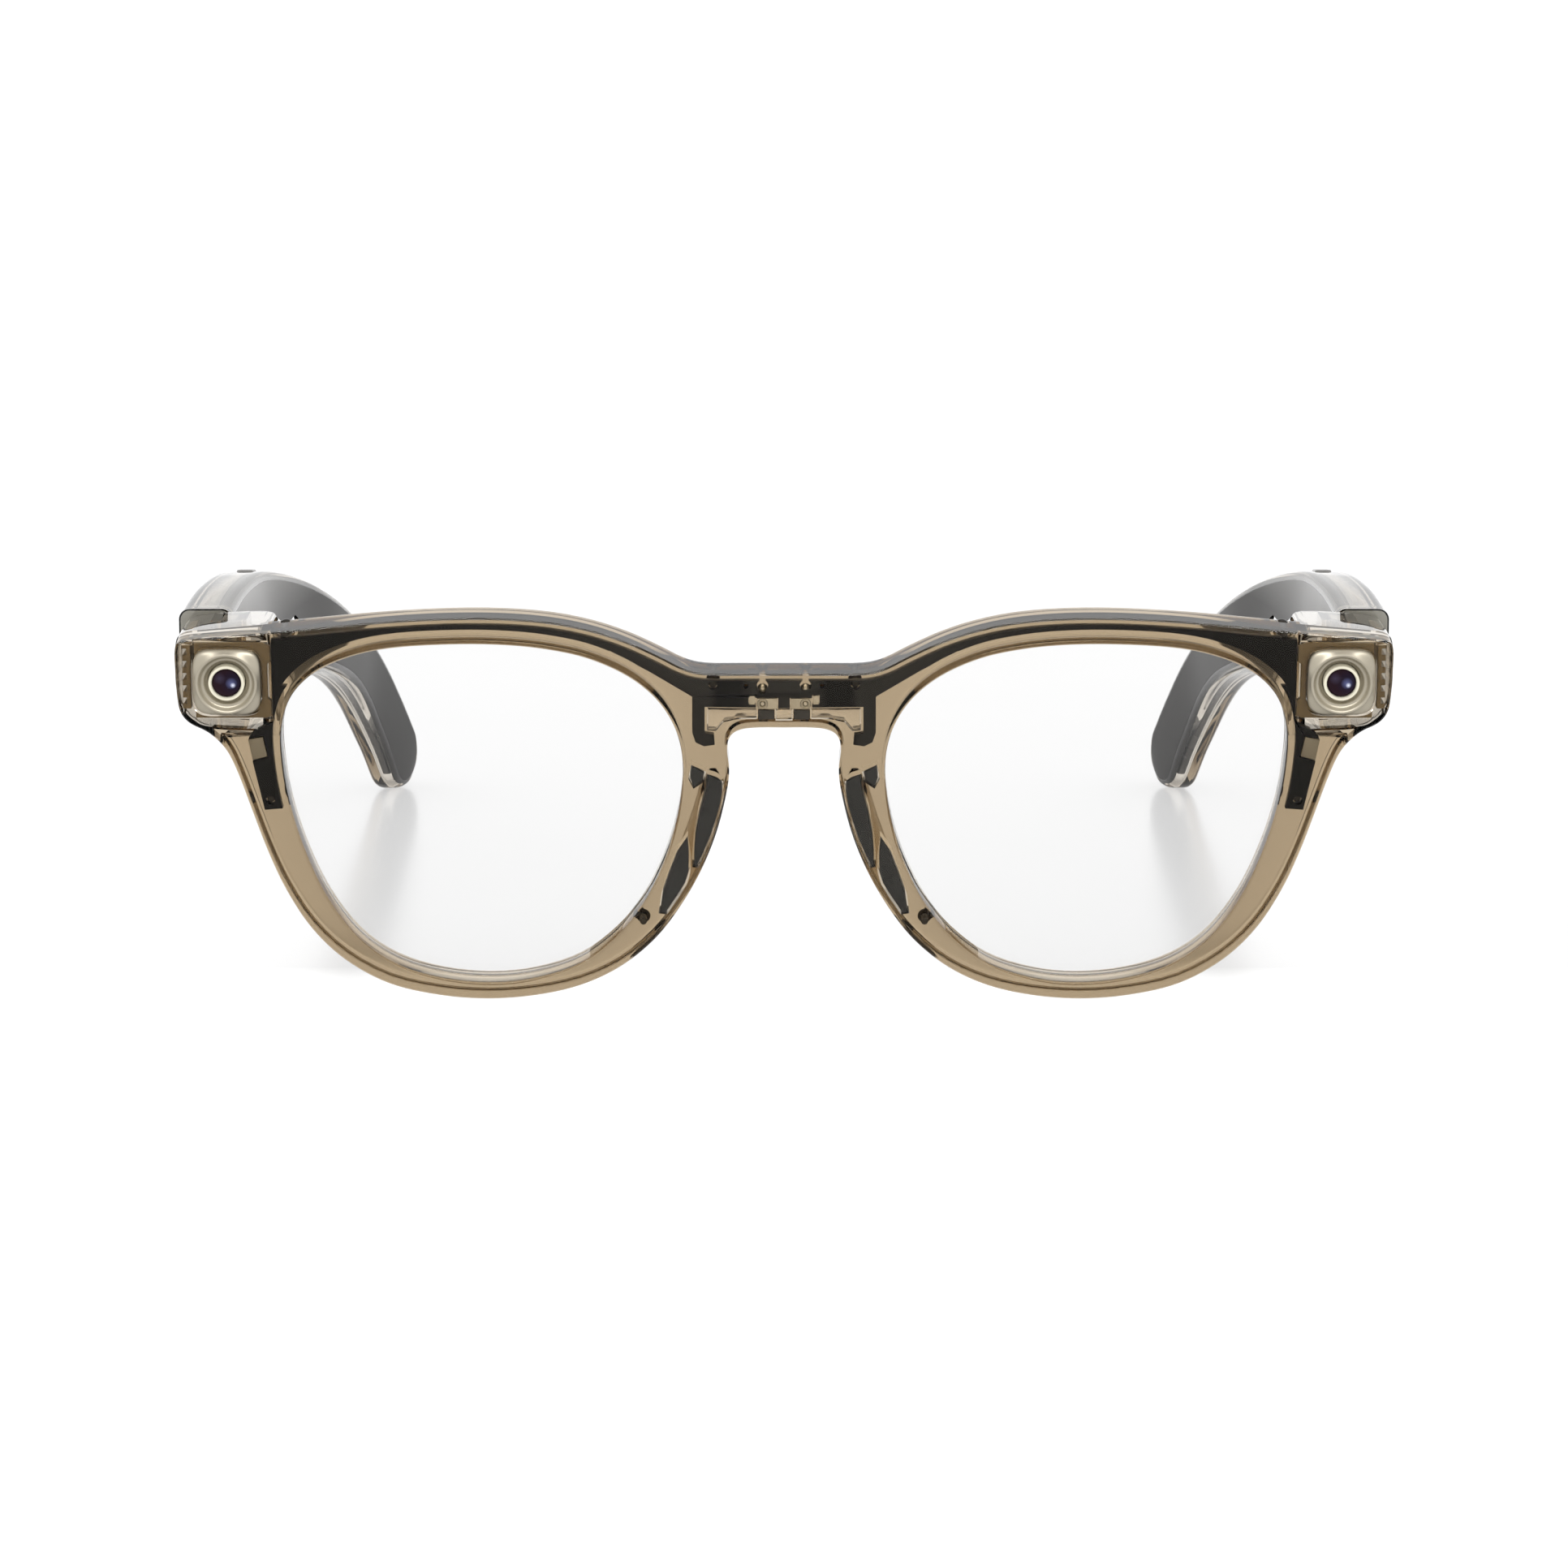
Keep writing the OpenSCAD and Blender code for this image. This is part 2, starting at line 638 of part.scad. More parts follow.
// Slotted strip that covers the speaker's mouth in the temple's lower edge
module grille(side) color(graphite) on_side(side) difference() {
    arm(90.1, 98.9) {
        profile_2d(-0.98, -0.82);
        plan_2d(0.4, 0.6);
    }
    world() for (k = [0:3]) translate([60, 91.3 + 1.9 * k, 10]) cube([20, 0.7, 40]);
}

// Metal core that stiffens the bend and the tip
module temple_core(side) color(champagne) on_side(side) arm(104, 136) {
    profile_2d(-0.66, -0.3);
    plan_2d(0.36, 0.6);
}

module temple_microphone(side) color(steel) on_side(side) world()
    translate([71.2, 18.5, 35.4]) cube([1.2, 2.6, 1.6]);

module button_switch(side) color(black) on_side(side) at_button(5.4) {
    translate([-1.4, -2.5, 0]) cube([2.3, 5, 1.6]);
    translate([-0.25, 0, 1.6]) cylinder(r = 0.8, h = 0.5);
}

module button(side) color([0.55, 0.53, 0.5]) on_side(side) at_button(2.5)
    pill(button_l, button_w, 2.75);

// ---- power slider, on the inner face of the left temple ----

switch_y = 30;
switch_z = 39;

module power_switch() color(black) world()
    translate([hinge_x + 1.75, switch_y - 3, switch_z - 1.6]) cube([0.9, 6, 3.2]);

module power_knob() color(steel) world()
    translate([hinge_x - 0.3, switch_y - 2.4, switch_z - 0.6]) cube([1.9, 2.4, 1.2]);

front_shell();
rear_cover();
lens(-1);  // lens_right
lens(1);  // lens_left
carrier_frame();
front_flex();
bezel(-1);  // camera_bezel
ring(-1);  // camera_ring
eye(-1);  // camera_lens
camera_module();
bezel(1);  // light_bezel
ring(1);  // light_ring
eye(1);  // light_lens
light_board();
corner_brackets();
contact_posts();
contact_plates();
contact_pads();
bridge_plates();
nose_pads();
nose_inserts();
nose_microphone();
side_blocks();
side_contacts();
front_hinge_leaves();
hinge_pins();
cover_screws();
temple_shell(-1);  // temple_shell_right
temple_cover(-1);  // temple_cover_right
temple_hinge(-1);  // temple_hinge_right
board(-1);  // main_board_right
touch_film(-1);  // touch_pad_right
battery(-1);  // battery_right
speaker(-1);  // speaker_right
grille(-1);  // speaker_grille_right
temple_core(-1);  // temple_core_right
temple_microphone(-1);  // temple_microphone_right
button_switch(-1);  // button_switch_right
button(-1);  // capture_button
temple_shell(1);  // temple_shell_left
temple_cover(1);  // temple_cover_left
temple_hinge(1);  // temple_hinge_left
board(1);  // radio_board_left
touch_film(1);  // antenna_left
battery(1);  // battery_left
speaker(1);  // speaker_left
grille(1);  // speaker_grille_left
temple_core(1);  // temple_core_left
temple_microphone(1);  // temple_microphone_left
button_switch(1);  // button_switch_left
button(1);  // action_button
power_switch();
power_knob();
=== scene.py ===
"""Looks of the translucent smart glasses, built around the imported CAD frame."""
import math

import bmesh
import bpy
from mathutils import Matrix, Vector


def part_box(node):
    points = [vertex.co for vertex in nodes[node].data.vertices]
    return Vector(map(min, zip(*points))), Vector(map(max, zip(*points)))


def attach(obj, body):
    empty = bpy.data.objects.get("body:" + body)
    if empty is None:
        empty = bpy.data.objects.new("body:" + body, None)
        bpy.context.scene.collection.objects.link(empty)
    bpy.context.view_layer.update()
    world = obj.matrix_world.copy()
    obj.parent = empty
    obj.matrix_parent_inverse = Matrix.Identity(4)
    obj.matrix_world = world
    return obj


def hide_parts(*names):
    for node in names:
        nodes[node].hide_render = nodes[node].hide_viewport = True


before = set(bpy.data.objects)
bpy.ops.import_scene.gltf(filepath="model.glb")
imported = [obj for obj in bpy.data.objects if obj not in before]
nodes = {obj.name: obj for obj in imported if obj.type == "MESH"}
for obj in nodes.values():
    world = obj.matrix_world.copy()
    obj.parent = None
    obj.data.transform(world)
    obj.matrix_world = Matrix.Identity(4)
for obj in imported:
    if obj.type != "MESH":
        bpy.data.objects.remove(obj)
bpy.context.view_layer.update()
MM = 0.001

# ---- places, from the frame ----

TILT = math.radians(7)
SIDES = {"right": -1, "left": 1}


def centre(node):
    low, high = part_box(node)
    return (low + high) / 2


HINGE_X = 68.0
HINGE_Y = 12.9
HINGE_ROOM = (34.8, 45.7, 2.15)        # bottom, top and radius of the room for the knuckles
MID_Y = HINGE_Y - centre("hinge_pins").y / MM   # depth of the origin behind the front's foot
LEAN = Matrix.Translation((0, -MID_Y * MM, 0)) @ Matrix.Rotation(TILT, 4, "X")
FLAT = Matrix.Translation((0, -MID_Y * MM, 0))
UNLEAN = LEAN.inverted()

FRONT_T = 5.4                          # thickness of the front with its rear cover
SPLIT = 3.9                            # depth where the rear cover starts
CARRIER = 1.2                          # depth of the carrier's front face
CAM_X, CAM_Z = 67.3, 40.6

# ---- small tools ----


def new_object(name, mesh):
    obj = bpy.data.objects.new(name, mesh)
    bpy.context.scene.collection.objects.link(obj)
    return obj


def smooth(mesh, angle=35):
    """Smooth shading, with edges sharper than the angle kept crisp and flat slivers removed."""
    mesh.shade_smooth()
    bm = bmesh.new()
    bm.from_mesh(mesh)
    bmesh.ops.dissolve_degenerate(bm, edges=bm.edges, dist=2e-6)
    limit = math.radians(angle)
    for edge in bm.edges:
        edge.smooth = len(edge.link_faces) != 2 or edge.calc_face_angle(0) < limit
    bm.to_mesh(mesh)
    bm.free()


def finish_mesh(name, bm, place=None, angle=35):
    bmesh.ops.remove_doubles(bm, verts=bm.verts, dist=1e-7)
    bmesh.ops.recalc_face_normals(bm, faces=bm.faces)
    mesh = bpy.data.meshes.new(name)
    bm.to_mesh(mesh)
    bm.free()
    if place:
        mesh.transform(place)
    smooth(mesh, angle)
    return new_object(name, mesh)


def carve(obj, tool, operation="DIFFERENCE"):
    """Applies one boolean and deletes the tool."""
    cut = obj.modifiers.new("cut", "BOOLEAN")
    cut.operation = operation
    cut.solver = "EXACT"
    cut.object = tool
    graph = bpy.context.evaluated_depsgraph_get()
    mesh = bpy.data.meshes.new_from_object(obj.evaluated_get(graph))
    obj.modifiers.clear()
    obj.data = mesh
    bpy.data.objects.remove(tool)
    smooth(mesh)
    return obj


def catmull(a, b, c, d, t):
    return 0.5 * (2 * b + (c - a) * t + (2 * a - 5 * b + 4 * c - d) * t ** 2
                  + (3 * b - 3 * c + d - a) * t ** 3)


def open_curve(points, steps):
    pts = [Vector(p) for p in points]
    last = len(pts) - 1
    out = []
    for i in range(last):
        a, b = pts[max(i - 1, 0)], pts[i]
        c, d = pts[i + 1], pts[min(i + 2, last)]
        out += [catmull(a, b, c, d, k / steps) for k in range(steps)]
    return out + [pts[last]]


def finer(loop, steps):
    n = len(loop)
    return [catmull(loop[i - 1], loop[i], loop[(i + 1) % n], loop[(i + 2) % n], k / steps)
            for i in range(n) for k in range(steps)]


def grown(loop, distance):
    """A closed clockwise loop of (x, z) moved outward by a distance."""
    n = len(loop)
    out = []
    for i in range(n):
        step = loop[(i + 1) % n] - loop[i - 1]
        out.append(loop[i] + Vector((-step.y, step.x)).normalized() * distance)
    return out


def clockwise(loop):
    area = sum(p.x * q.y - q.x * p.y for p, q in zip(loop, loop[1:] + loop[:1]))
    return loop if area < 0 else loop[::-1]


def face_loops(node, depth, tolerance=0.004):
    """Closed outlines, in mm in the leaning frame, of a CAD node's flat face at one depth."""
    mesh = nodes[node].data
    place = {}
    keys = []
    for v in mesh.vertices:
        co = (UNLEAN @ v.co) / MM
        key = (round(co.x, 3), round(co.y, 3), round(co.z, 3))
        place[key] = Vector((co.x, co.z))
        keys.append(key)
    count = {}
    for poly in mesh.polygons:
        ring = [keys[v] for v in poly.vertices]
        if all(abs(k[1] - depth) < tolerance for k in ring):
            for a, b in zip(ring, ring[1:] + ring[:1]):
                count.setdefault(frozenset((a, b)), []).append((a, b))
    follows = {pairs[0][0]: pairs[0][1] for pairs in count.values() if len(pairs) == 1}
    loops = []
    while follows:
        start = next(iter(follows))
        here, loop = start, []
        while here in follows:
            loop.append(place[here])
            here = follows.pop(here)
        loops.append(clockwise(loop))
    loops.sort(key=len, reverse=True)
    return loops


def layered(name, outer, holes, outer_steps, hole_steps, place):
    """A plate built as rings: steps are (depth, inset) pairs from the front to the back."""
    bm = bmesh.new()
    ends = []
    for loop, steps, sign in [(outer, outer_steps, -1)] + [(h, hole_steps, 1) for h in holes]:
        rings = []
        for depth, inset in steps:
            ring = grown(loop, sign * inset)
            rings.append([bm.verts.new((p.x * MM, depth * MM, p.y * MM)) for p in ring])
        n = len(loop)
        for lower, upper in zip(rings, rings[1:]):
            for i in range(n):
                bm.faces.new((lower[i], lower[(i + 1) % n], upper[(i + 1) % n], upper[i]))
        ends.append((rings[0], rings[-1]))
    for which in (0, 1):
        edges = []
        for pair in ends:
            ring = pair[which]
            edges += [bm.edges.get((ring[i - 1], ring[i])) for i in range(len(ring))]
        bmesh.ops.triangle_fill(bm, use_beauty=True, edges=edges, normal=(0, 1, 0))
    return finish_mesh(name, bm, place)


def tubes(name, skins, place, closed=False, angle=35):
    """One object of several skins, each over rings with the same number of points."""
    bm = bmesh.new()
    for rings in skins:
        made = [[bm.verts.new(Vector(p) * MM) for p in ring] for ring in rings]
        n = len(rings[0])
        pairs = list(zip(made, made[1:])) + ([(made[-1], made[0])] if closed else [])
        for a, b in pairs:
            for i in range(n):
                bm.faces.new((a[i], a[(i + 1) % n], b[(i + 1) % n], b[i]))
        if not closed:
            bm.faces.new(made[0])
            bm.faces.new(made[-1])
    return finish_mesh(name, bm, place, angle)


def tube(name, rings, place, closed=False, angle=35):
    return tubes(name, [rings], place, closed, angle)


def super_ring(size, power, depth, count=96, at=(0, 0)):
    """A ring between a circle (power 2) and a rounded square, facing along Y."""
    ring = []
    for k in range(count):
        a = 2 * math.pi * k / count
        c, s = math.cos(a), math.sin(a)
        r = size / (abs(c) ** power + abs(s) ** power) ** (1 / power)
        ring.append((at[0] + r * c, depth, at[1] + r * s))
    return ring


# ---- materials ----

MIX_FACTOR, MIX_A, MIX_B, MIX_RESULT = 0, 6, 7, 2   # sockets of a mix node of colours


class Nodes:
    """A material under construction."""

    def __init__(self, name):
        self.mat = bpy.data.materials.new(name)
        self.mat.use_nodes = True
        self.tree = self.mat.node_tree
        self.shader = self.tree.nodes["Principled BSDF"]
        self.output = self.tree.nodes["Material Output"]
        self.coords = None

    def node(self, kind, **values):
        n = self.tree.nodes.new(kind)
        for key, value in values.items():
            if key in n.inputs.keys():
                n.inputs[key].default_value = value
            else:
                setattr(n, key, value)
        return n

    def set(self, **values):
        for key, value in values.items():
            self.shader.inputs[key.replace("_", " ")].default_value = value

    def link(self, a, b):
        self.tree.links.new(a, b)

    def where(self):
        if not self.coords:
            self.coords = self.node("ShaderNodeTexCoord")
        return self.coords.outputs["Object"]

    def noise(self, scale, detail=3.0, roughness=0.55):
        n = self.node("ShaderNodeTexNoise", Scale=scale, Detail=detail, Roughness=roughness)
        self.link(self.where(), n.inputs["Vector"])
        return n.outputs["Fac"]

    def spread(self, value, low, high, start=0.3, end=0.7):
        n = self.node("ShaderNodeMapRange")
        n.inputs["From Min"].default_value = start
        n.inputs["From Max"].default_value = end
        n.inputs["To Min"].default_value = low
        n.inputs["To Max"].default_value = high
        self.link(value, n.inputs["Value"])
        return n.outputs["Result"]

    def mix(self, value, one, two):
        n = self.node("ShaderNodeMix", data_type="RGBA")
        n.inputs[MIX_A].default_value = (*one, 1)
        n.inputs[MIX_B].default_value = (*two, 1)
        self.link(value, n.inputs[MIX_FACTOR])
        return n.outputs[MIX_RESULT]

    def layer(self, below, value, tint):
        """A tint laid over a colour socket, as strong as a value says."""
        n = self.node("ShaderNodeMix", data_type="RGBA")
        self.link(below, n.inputs[MIX_A])
        n.inputs[MIX_B].default_value = (*tint, 1)
        self.link(value, n.inputs[MIX_FACTOR])
        return n.outputs[MIX_RESULT]

    def split(self):
        n = self.node("ShaderNodeSeparateXYZ")
        self.link(self.where(), n.inputs[0])
        return n.outputs

    def bump(self, value, strength, distance):
        n = self.node("ShaderNodeBump", Strength=strength, Distance=distance)
        self.link(value, n.inputs["Height"])
        self.link(n.outputs["Normal"], self.shader.inputs["Normal"])

    def rough(self, low, high, scale):
        self.link(self.spread(self.noise(scale), low, high), self.shader.inputs["Roughness"])

    def colour(self, socket):
        self.link(socket, self.shader.inputs["Base Color"])


def absorbing(n, per_mm):
    """Plain absorption inside the plastic, in parts per millimetre for red, green and blue."""
    density = max(per_mm) / MM
    keep = [1 - a / max(per_mm) for a in per_mm]
    volume = n.node("ShaderNodeVolumeAbsorption", Density=density)
    volume.inputs["Color"].default_value = (*keep, 1)
    n.link(volume.outputs["Volume"], n.output.inputs["Volume"])


def clear_plastic(name, per_mm, glare=0.45):
    n = Nodes(name)
    n.set(Base_Color=(1, 1, 1, 1), Transmission_Weight=1.0, IOR=1.46)
    n.set(Specular_Tint=(glare, glare, glare, 1))
    n.rough(0.01, 0.04, 260)
    n.bump(n.noise(900, 2), 0.02, 0.00002)
    absorbing(n, per_mm)
    return n.mat


def solid_plastic(name, colour, low=0.25, high=0.4, gloss=0.5):
    n = Nodes(name)
    darker = tuple(c * 0.8 for c in colour)
    n.colour(n.mix(n.noise(180), darker, colour))
    n.rough(low, high, 300)
    n.set(Specular_IOR_Level=gloss)
    return n.mat


def cover_grey_painted_reflection():
    """Grey moulding with a painted reflection: lighter over the dome at the top, darker lower down
    toward the ear tip.
    """
    n = Nodes("cover_grey_painted_reflection")
    low_z, dome_z = 0.036, 0.047
    # painted reflection: lighter grey higher up, where light from above falls
    share = n.spread(n.split()["Z"], 0, 1, low_z, dome_z)
    n.colour(n.mix(share, (0.062, 0.060, 0.058), (0.30, 0.295, 0.285)))
    n.rough(0.1, 0.12, 300)
    n.set(Specular_IOR_Level=0.02)
    return n.mat


def metal(name, colour, low=0.28, high=0.42, metallic=1.0):
    n = Nodes(name)
    darker = tuple(c * 0.78 for c in colour)
    n.colour(n.mix(n.noise(350), darker, colour))
    n.rough(low, high, 500)
    n.bump(n.noise(4000, 2), 0.08, 0.00002)
    n.set(Metallic=metallic)
    return n.mat


def carrier_black_painted_reflection():
    """Black moulding with a painted reflection: lighter in the middle, deepest at the corners and
    in two bands beside the bridge's contacts.
    """
    n = Nodes("carrier_black_painted_reflection")
    away = n.node("ShaderNodeMath", operation="ABSOLUTE")
    n.link(n.split()["X"], away.inputs[0])
    half_width = 0.07
    ramp = n.node("ShaderNodeValToRGB")
    n.link(n.spread(away.outputs[0], 0, 1, 0, half_width), ramp.inputs["Fac"])
    bar = ramp.color_ramp.elements
    # painted reflection: greys lighter near the middle, darker at the corners and beside the
    # contacts
    painted_reflection_stops = [(0, 0.055), (0.055, 0.05), (0.075, 0.012), (0.115, 0.012), (0.13, 0.050),
             (0.2, 0.048), (0.4, 0.03), (0.75, 0.008), (1, 0.008)]
    for (place, grey), element in zip((painted_reflection_stops[0], painted_reflection_stops[-1]), bar):
        element.position = place
        element.color = (grey, grey, grey, 1)
    for place, grey in painted_reflection_stops[1:-1]:
        bar.new(place).color = (grey, grey, grey, 1)
    n.colour(ramp.outputs["Color"])
    n.rough(0.3, 0.4, 400)
    n.set(Specular_IOR_Level=0.12)
    return n.mat


def lens_glass():
    n = Nodes("clear_lens")
    n.set(Base_Color=(0.89, 0.89, 0.89, 1), Transmission_Weight=1.0, IOR=1.5)
    n.set(Specular_Tint=(0.3, 0.3, 0.3, 1))
    n.rough(0.0, 0.006, 60)
    return n.mat


def eye_glass_painted_glints(side):
    """Dark coated glass: a navy half and a plum half, with painted reflections on it: a faint plum
    sheen, a blue spot and a small pale highlight, round its own centre.
    """
    n = Nodes("camera_glass" if side < 0 else "light_glass")
    middle = LEAN @ Vector((side * CAM_X * MM, 0, CAM_Z * MM))

    def spot(right, up, radius):
        """One inside a soft round spot and none outside it."""
        place = middle + Vector((right * MM, 0, up * MM))
        flat = n.node("ShaderNodeVectorMath", operation="MULTIPLY")
        n.link(n.where(), flat.inputs[0])
        flat.inputs[1].default_value = (1, 0, 1)
        away = n.node("ShaderNodeVectorMath", operation="DISTANCE")
        n.link(flat.outputs[0], away.inputs[0])
        away.inputs[1].default_value = (place.x, 0, place.z)
        return n.spread(away.outputs["Value"], 1, 0, 0, radius * MM)

    tone_and_painted_glints = n.mix(spot(0.9, 0.1, 1.7), (0.012, 0.001, 0.006), (0.004, 0.003, 0.020))
    # painted reflections: a faint plum sheen, a blue spot and a small pale highlight
    tone_and_painted_glints = n.layer(tone_and_painted_glints, spot(-0.8, 0.6, 0.8), (0.035, 0.025, 0.050))
    tone_and_painted_glints = n.layer(tone_and_painted_glints, spot(0.62, -0.02, 0.75), (0.10, 0.11, 0.24))
    tone_and_painted_glints = n.layer(tone_and_painted_glints, spot(0.80, -0.25, 0.35), (0.80, 0.84, 1.0))
    n.colour(tone_and_painted_glints)
    n.rough(0.03, 0.08, 300)
    n.set(Specular_IOR_Level=0.12)
    return n.mat


def floor_board():
    """A bright board that glows, a painted light stronger ahead of the front of the glasses than
    behind it so shadows wash out, glossy behind the front and matt ahead of it.
    """
    n = Nodes("floor")
    ahead, behind = -0.06, -0.05
    along = n.split()["Y"]
    gloss = n.spread(along, 0.02, 0.5, ahead, behind)
    n.link(gloss, n.shader.inputs["Specular IOR Level"])
    n.colour(n.mix(n.noise(8), (0.32, 0.32, 0.32), (0.33, 0.33, 0.33)))
    n.rough(0.2, 0.22, 30)
    n.set(Emission_Color=(1, 1, 1, 1))
    # painted light: the board glows more ahead of the front than behind it, washing out shadows
    glow = n.spread(along, 0.85, 0.5, ahead, behind)
    n.link(glow, n.shader.inputs["Emission Strength"])
    return n.mat


TAN = (0.170, 0.218, 0.300)            # what a millimetre of plastic takes out of the light
GREY_TAN = (0.105, 0.130, 0.170)
mats = {
    "tan": clear_plastic("tan_plastic", TAN, 0.2),
    "temple": clear_plastic("temple_plastic", GREY_TAN, 0.8),
    "black": carrier_black_painted_reflection(),
    "plain_black": solid_plastic("plain_black", (0.014, 0.014, 0.014), 0.25, 0.35, gloss=0.2),
    "graphite": solid_plastic("graphite", (0.055, 0.052, 0.049), 0.2, 0.3),
    "cover": cover_grey_painted_reflection(),
    "gold": metal("gold", (0.24, 0.17, 0.078), 0.35, 0.45, metallic=0.3),
    "button": solid_plastic("button_grey", (0.30, 0.29, 0.28), 0.2, 0.3),
    "wing": clear_plastic("wing_plastic", [2.6 * part for part in TAN]),
    "insert": solid_plastic("insert_grey", (0.050, 0.055, 0.062), 0.25, 0.35, gloss=0.2),
    "champagne": metal("champagne", (0.36, 0.325, 0.255), 0.32, 0.45, metallic=0.6),
    "bright": metal("bright_champagne", (0.62, 0.57, 0.46), 0.15, 0.25, metallic=0.85),
    "steel": metal("steel", (0.62, 0.61, 0.59), 0.18, 0.3),
    "cream_grey": solid_plastic("cream_grey", (0.62, 0.60, 0.52), 0.3, 0.45),
    "cream": solid_plastic("cream", (0.93, 0.88, 0.70), 0.15, 0.3),
    "camera_eye": eye_glass_painted_glints(-1),
    "light_eye": eye_glass_painted_glints(1),
    "lens": lens_glass(),
    "board": solid_plastic("board", (0.42, 0.40, 0.31), 0.3, 0.5),
    "film": solid_plastic("film", (0.45, 0.27, 0.10), 0.25, 0.4),
    "floor": floor_board(),
}

# ---- CAD nodes that keep their own shape ----


def dress(node, look, bevel):
    """A CAD node's material, with its sharp edges rounded off by modifiers."""
    obj = nodes[node]
    weld = obj.modifiers.new("weld", "WELD")
    weld.merge_threshold = 1e-6
    flat = obj.modifiers.new("flat", "DECIMATE")
    flat.decimate_type = "DISSOLVE"
    flat.angle_limit = math.radians(0.5)
    edge = obj.modifiers.new("edge", "BEVEL")
    edge.width = bevel * MM
    edge.segments = 2
    edge.limit_method = "ANGLE"
    edge.angle_limit = math.radians(35)
    edge.harden_normals = True
    obj.data.shade_smooth()
    obj.data.materials.clear()
    obj.data.materials.append(mats[look])


kept = {                               # material and bevel in mm of each node
    "carrier_frame": ("black", 0.12), "front_flex": ("film", 0.03),
    "camera_module": ("plain_black", 0.1), "light_board": ("board", 0.1),
    "corner_brackets": ("gold", 0.1),
    "contact_plates": ("bright", 0.15), "contact_pads": ("graphite", 0.08),
    "bridge_plates": ("wing", 0.08), "nose_inserts": ("insert", 0.2),
    "nose_microphone": ("steel", 0.1), "side_blocks": ("plain_black", 0.12),
    "side_contacts": ("champagne", 0.1), "front_hinge_leaves": ("steel", 0.15),
    "hinge_pins": ("steel", 0.1), "cover_screws": ("graphite", 0.08),
    "capture_button": ("button", 0.2), "action_button": ("button", 0.2),
    "power_switch": ("plain_black", 0.1), "power_knob": ("steel", 0.15),
}
for side in SIDES:
    kept.update({
        f"temple_hinge_{side}": ("steel", 0.12), f"battery_{side}": ("steel", 0.25),
        f"speaker_{side}": ("plain_black", 0.25), f"speaker_grille_{side}": ("graphite", 0.06),
        f"temple_core_{side}": ("graphite", 0.15), f"temple_microphone_{side}": ("steel", 0.1),
        f"button_switch_{side}": ("plain_black", 0.12),
    })
kept.update({"main_board_right": ("board", 0.05), "radio_board_left": ("board", 0.05),
             "touch_pad_right": ("film", 0.03), "antenna_left": ("film", 0.03)})
for node, (look, bevel) in kept.items():
    dress(node, look, bevel)


def place_piece(obj, body, look, *replaced):
    obj.data.materials.clear()
    obj.data.materials.append(mats[look])
    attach(obj, body)
    if replaced:
        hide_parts(*replaced)
    return obj


shiny = []                             # pieces that the strip light glints on
bright = []                            # pieces that take a weaker glint

# ---- front shell and rear cover ----

front_face = face_loops("front_shell", 0)
outline = finer(front_face[0], 2)
openings = [finer(loop, 2) for loop in front_face[1:3]]


def edge_steps(radius):
    """(depth, inset) pairs of a round edge, from the face to the full width."""
    return [(radius * (1 - math.cos(a)), radius * (1 - math.sin(a)))
            for a in [math.pi / 2 * k / 5 for k in range(6)]]


END_OUTLINE = [(62.6, 45.5), (63.8, 46.3), (70, 46.05), (72.9, 45.6), (73.7, 44.7), (73.85, 42),
               (73.75, 38.8), (73.1, 36.6), (71.7, 35.1), (69.5, 34.2), (62.6, 33.9)]
END_WALL = 0.5
END_SKIN = 1.2                         # plastic left in front of the hollow
END_BACK = HINGE_Y - 0.25


def end_loop(side, inset):
    curve = open_curve(END_OUTLINE, 4)
    loop = clockwise([Vector((side * p.x, p.y)) for p in curve])
    return grown(loop, -inset)


def end_piece(side):
    steps = [(-1.2, 0.0), (END_BACK - 0.5, 0.0), (END_BACK - 0.25, 0.08), (END_BACK, 0.4)]
    return layered("end", end_loop(side, 0), [], steps, [], FLAT)


def block(side, xs, depths, zs, place):
    """A square-edged block between two widths, two depths and two heights."""
    (x0, x1), (z0, z1) = xs, zs
    corners = [(side * x0, z0), (side * x0, z1), (side * x1, z1), (side * x1, z0)]
    return tube("block", [[(x, y, z) for x, z in corners] for y in depths], place)


def end_hollow(side):
    """The hollow of an end piece, with rooms for the camera and its surround."""
    room = layered("room", end_loop(side, END_WALL), [], [(-3.2, 0), (END_BACK - END_WALL, 0)],
                   [], FLAT)
    carve(room, block(side, (63.5, 72.7), (END_SKIN, SPLIT), (36.5, 45.1), LEAN), "UNION")
    surround = block(side, (61.95, 71.4), (END_SKIN - 0.05, 2.15), (35.8, 45.5), LEAN)
    carve(room, surround, "UNION")
    hinge_boss = block(side, (65.8, 70.2), (6, 16), (30, 50), FLAT)
    return carve(room, hinge_boss)


def hinge_room(side):
    """The drum-shaped room round the knuckles of one hinge."""
    low, high, radius = HINGE_ROOM
    return drum(side * HINGE_X, HINGE_Y, low, high, radius, FLAT)


def drum(x, y, z0, z1, radius, place, count=48):
    rings = []
    for z in (z0, z1):
        rings.append([(x + radius * math.cos(2 * math.pi * k / count),
                       y + radius * math.sin(2 * math.pi * k / count), z) for k in range(count)])
    return tube("drum", rings, place)


def pocket(node, grow):
    """A tool that clears room round every piece of a node set in the front."""
    rooms = None
    for loop in face_loops(node, CARRIER):
        ring = grown(loop, grow)
        room = tube("room", [[(p.x, y, p.y) for p in ring] for y in (CARRIER - 0.1, SPLIT + 0.3)],
                    LEAN)
        rooms = carve(rooms, room, "UNION") if rooms else room
    return rooms


